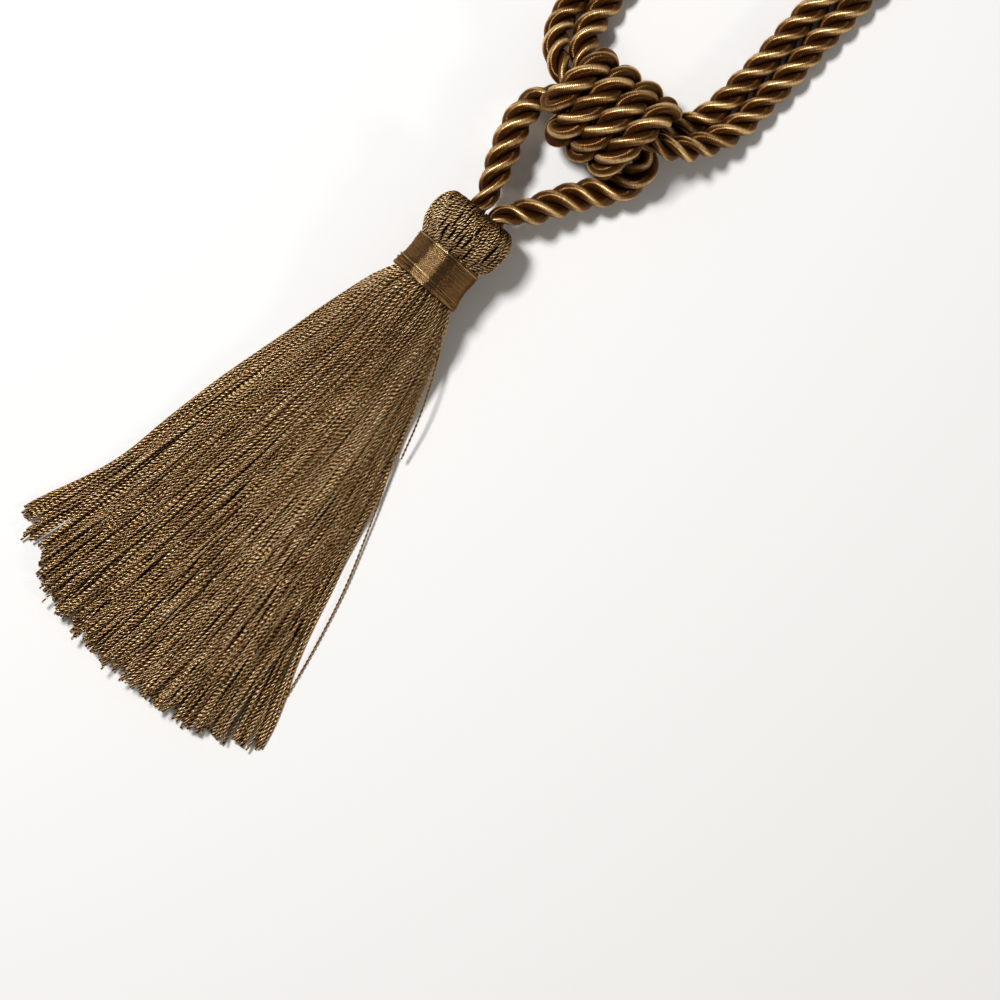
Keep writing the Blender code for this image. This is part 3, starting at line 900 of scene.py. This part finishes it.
def make_binding(draw):
    """The satin binding over its skin."""
    satin = wound_material("binding_satin", SATIN_DYE_AND_PAINTED_LIGHT_STOPS, SATIN_YARN_PITCH, SATIN_LOOK)
    binding = Strands()
    turned_skin(binding, BINDING_SKIN, BINDING_SKIN_STEPS, BINDING_SKIN_TONE)
    binding_windings(binding, draw)
    binding_overlays(binding, draw)
    binding.piece("binding_windings", "neck_binding", "binding_satin", satin)


# The skirt


def skirt_top(side, distance):
    """The skirt's half width, and the heights of its underside and its top there."""
    half_width, pile, drop = table_curve(SKIRT_ROWS, distance)
    crown = np.sqrt(np.maximum(1.0 - side * side, 0.0))
    under = (1.0 - drop) * (AXIS_HEIGHT / MM - pile * crown / 2.0)
    return half_width, under, under + pile * crown


def tip_distance(x):
    """How far from the head the skirt's cut end lies, at x across it."""
    return TIP_REACH - TIP_RISE * np.abs((x - TIP_MIDDLE) / TIP_HALF_WIDTH) ** TIP_POWER


def cut_ends(draw, place, ragged):
    """How far each thread reaches, cut unevenly and in clumps, a few of them longer."""
    across = (2.0 * place - 1.0) * SKIRT_ROWS[-1][1]
    reach = tip_distance(across) - ragged * draw.uniform(0.0, 1.0, len(place)) ** 2
    reach += np.where(draw.uniform(0.0, 1.0, len(place)) < LONG_TIP_SHARE, LONG_TIP, 0.0)
    clump = TIP_CLUMPS * place + TIP_CLUMP_DRIFT * np.sin(TAU * TIP_CLUMP_DRIFTS * place)
    return reach + TIP_CLUMP_REACH * np.sin(TAU * clump)


def fanned_side(tip_side, distance, drift):
    """Each thread's place across the skirt, -1 to 1, from the round neck to the flat tips."""
    far = np.clip((TIP_REACH - distance) / (TIP_REACH - FAN_START), 0.0, 1.0)
    side = tip_side + drift * (1.0 - tip_side**2) * far
    blend = smooth_step(distance, SKIRT_START, FAN_START)
    return np.sin(0.5 * math.pi * side) * (1.0 - blend) + side * blend


def lock_pull(place, distance):
    """How far the locks, large and fine, draw each thread sideways."""
    lock = place * LOCKS + LOCK_DRIFT * np.sin(TAU * place * LOCK_DRIFTS)
    bend = LOCK_BEND * np.sin(distance / LOCK_BEND_LENGTH)
    fine_bend = FINE_BEND * np.sin(distance / FINE_BEND_LENGTH + FINE_BEND_DRIFT * place)
    pull = -LOCK_PULL * np.sin(TAU * lock + bend)
    return pull - FINE_PULL * np.sin(TAU * place * FINE_LOCKS + fine_bend)


def outer_splay(tip_side, distance):
    """How far the outermost threads stand out at the tips."""
    outer = np.clip((np.abs(tip_side) - SPLAY_SIDE) / (1.0 - SPLAY_SIDE), 0.0, 1.0)
    most = np.where(tip_side < 0.0, -SPLAY_LEFT, SPLAY_RIGHT)
    return most * outer * smooth_step(distance, SPLAY_START, SPLAY_END)


def skirt_threads(
    strands, draw, count, ring_step, depth, spread, upper, size, ragged, drift, picked=slice(None)
):
    """Threads from the neck to the cut end, fanned out over the floor.

    depth is how far below the surface they lie in millimetres, and spread how much more of
    that there is where the skirt is narrow and they overlap.  upper is False for the
    underside.  Only the picked ones are added.
    """
    place = ((np.arange(count) + 0.5) / count)[:, None]
    tip_side = 2.0 * place - 1.0
    rank = (np.arange(count) * GOLDEN + draw.uniform(0.0, RANK_SCATTER, count)) % 1.0
    reach = cut_ends(draw, place[:, 0], ragged)
    rings = int((reach.max() - SKIRT_START) / ring_step)
    distance = SKIRT_START + (reach[:, None] - SKIRT_START) * np.linspace(0.0, 1.0, rings)
    side = fanned_side(tip_side, distance, drift)
    half_width, under, top = skirt_top(side, distance)
    free = np.clip((distance - FREE_START) / FREE_LENGTH, 0.0, FREE_MOST)
    chance = CROSSING_SHARE + CROSSING_RIGHT * smooth_step(tip_side, 0.0, CROSSING_RIGHT_SIDE)
    crossing = draw.uniform(0.0, 1.0, (count, 1)) < chance
    wander = WANDER * waver(draw, count, distance, *WANDER_LENGTHS)
    wander += CROSSING_WANDER * crossing * waver(draw, count, distance, *CROSSING_LENGTHS)
    x = half_width * side * (1.0 - depth / NARROWING_DEPTH)
    x += (lock_pull(place, distance) + wander) * free + outer_splay(tip_side, distance)
    overlap = np.clip(count * THREAD_WIDTH / (2.0 * half_width) - 1.0, 0.0, MOST_OVERLAP)
    below = depth + rank[:, None] * (PILE_STEP + spread * overlap) - CROSSING_RISE * crossing * free
    below = below + RIPPLE * waver(draw, count, distance, *RIPPLE_LENGTHS) * free
    z = np.maximum(top - below if upper else under + below, THREAD_WIDTH / 2.0 * size)
    centre = (np.stack([x, -distance, z], axis=-1) * MM)[picked]
    side = side[picked]
    outward = np.sqrt(np.clip(1.0 - side * side, LEAST_FLAT, 1.0)) * (1.0 if upper else -1.0)
    up = np.stack([side, np.zeros_like(side), outward], axis=-1)
    add_skirt_tubes(strands, draw, centre, up, size, twisted=ring_step <= TWISTED_STEP)


def add_skirt_tubes(strands, draw, centre, up, size, twisted):
    """The skirt's threads along their centres: flat and twisted, or with a twisted pattern."""
    count = len(centre)
    tone = draw.uniform(0.0, 1.0, count)
    share = draw.uniform(*THREAD_SIZES, count)[:, None] * size * MM
    half_side, half_up = TWISTED_HALVES if twisted else PLAIN_HALVES
    tubes = (centre, up, half_side * share, half_up * share, THREAD_CORNERS, tone)
    if twisted:
        lay = SKIRT_THREAD_LAY * draw.uniform(*LAY_SIZES, count)[:, None]
        turn = draw.uniform(0.0, TAU, count)[:, None] + TAU * travelled(centre) / MM / lay
        strands.add(*tubes, turn=turn)
    else:
        strands.add(*tubes, spin=-1.0 / SKIRT_THREAD_LAY)


def stray_threads(strands, draw):
    """The few threads that stand off the skirt."""
    half_side, half_up = STRAY_HALVES
    for rows in STRAYS:
        route = smooth_rows(np.array(rows) * MM, STRAY_CURVE_STEPS)
        reach = travelled(route)
        wanted = np.linspace(0.0, reach[-1], int(reach[-1] / MM / STRAY_STEP))
        line = at_distances(route, reach, wanted)
        turn = draw.uniform(0.0, TAU) + TAU * wanted / MM / SKIRT_THREAD_LAY
        strands.add(
            line[None],
            np.array([0.0, 0.0, 1.0]),
            half_side * MM,
            half_up * MM,
            THREAD_CORNERS,
            draw.uniform(*STRAY_TONES, 1),
            turn=turn[None],
        )


def make_skirt(draw, thread):
    """The skirt: its top layer in two halves, and the layers under it."""
    middle = SKIRT_TOP[0] // 2
    left, right, under = Strands(), Strands(), Strands()
    for half, picked in ((left, slice(0, middle)), (right, slice(middle, None))):
        skirt_threads(half, np.random.default_rng(SKIRT_TOP_SEED), *SKIRT_TOP, picked)
    stray_threads(right, draw)
    under_draw = np.random.default_rng(SKIRT_UNDER_SEED)
    for layer in SKIRT_UNDER:
        skirt_threads(under, under_draw, *layer)
    left.piece("skirt_threads_left", "tassel", "tassel_thread", thread)
    right.piece("skirt_threads_right", "tassel", "tassel_thread", thread)
    under.piece("skirt_threads_under", "tassel", "tassel_thread", thread)


# The picture


def add_camera():
    """A long lens straight above the tassel, turned as the photo is."""
    data = bpy.data.cameras.new("camera")
    data.lens = LENS
    data.sensor_width = SENSOR
    data.clip_end = CLIP_END
    camera = bpy.data.objects.new("camera", data)
    height = VIEW_WIDTH * LENS / SENSOR + VIEW_HEIGHT
    place = Matrix.Translation((*VIEW_MIDDLE, height))
    camera.matrix_world = place @ Matrix.Rotation(VIEW_TURN, 4, "Z")
    bpy.context.scene.collection.objects.link(camera)
    bpy.context.scene.camera = camera


def add_light(name, azimuth, elevation, watts, colour):
    """A soft square light that faces the tassel."""
    data = bpy.data.lights.new(name, "AREA")
    data.shape = "SQUARE"
    data.size = LIGHT_SIZE
    data.energy = watts
    data.color = colour
    light = bpy.data.objects.new(name, data)
    a, e = math.radians(azimuth), math.radians(elevation)
    back = Vector((math.cos(a) * math.cos(e), math.sin(a) * math.cos(e), math.sin(e)))
    light.location = Vector(LIT_POINT) + back * LIGHT_DISTANCE
    light.rotation_mode = "QUATERNION"
    light.rotation_quaternion = back.to_track_quat("Z", "Y")
    bpy.context.scene.collection.objects.link(light)


def add_floor():
    """A plain pale floor."""
    mesh = bpy.data.meshes.new("floor")
    half = FLOOR_HALF_WIDTH
    corners = [(-half, -half, 0.0), (half, -half, 0.0), (half, half, 0.0), (-half, half, 0.0)]
    mesh.from_pydata(corners, [], [(0, 1, 2, 3)])
    material, tree = new_tree("floor")
    shader = tree.nodes["Principled BSDF"]
    shader.inputs["Base Color"].default_value = FLOOR_COLOUR
    shader.inputs["Roughness"].default_value = FLOOR_ROUGHNESS
    mesh.materials.append(material)
    floor = bpy.data.objects.new("floor", mesh)
    bpy.context.scene.collection.objects.link(floor)


def add_world():
    """An even pale surround."""
    world = bpy.data.worlds.new("studio")
    world.use_nodes = True
    background = world.node_tree.nodes["Background"]
    background.inputs["Color"].default_value = WORLD_COLOUR
    background.inputs["Strength"].default_value = WORLD_STRENGTH
    bpy.context.scene.world = world


# Everything is made here, with the camera and the free ropes first.

add_camera()
make_ropes()
twisted_thread = twisted_material("tassel_thread", THREAD_DYE_AND_PAINTED_LIGHT_STOPS, THREAD_LOOK)
tassel_draw = np.random.default_rng(HEAD_SEED)
make_head(tassel_draw, twisted_thread)
make_binding(tassel_draw)
make_skirt(tassel_draw, twisted_thread)
add_floor()
add_world()
for light_row in LIGHTS:
    add_light(*light_row)
bpy.context.scene.view_settings.view_transform = "Standard"
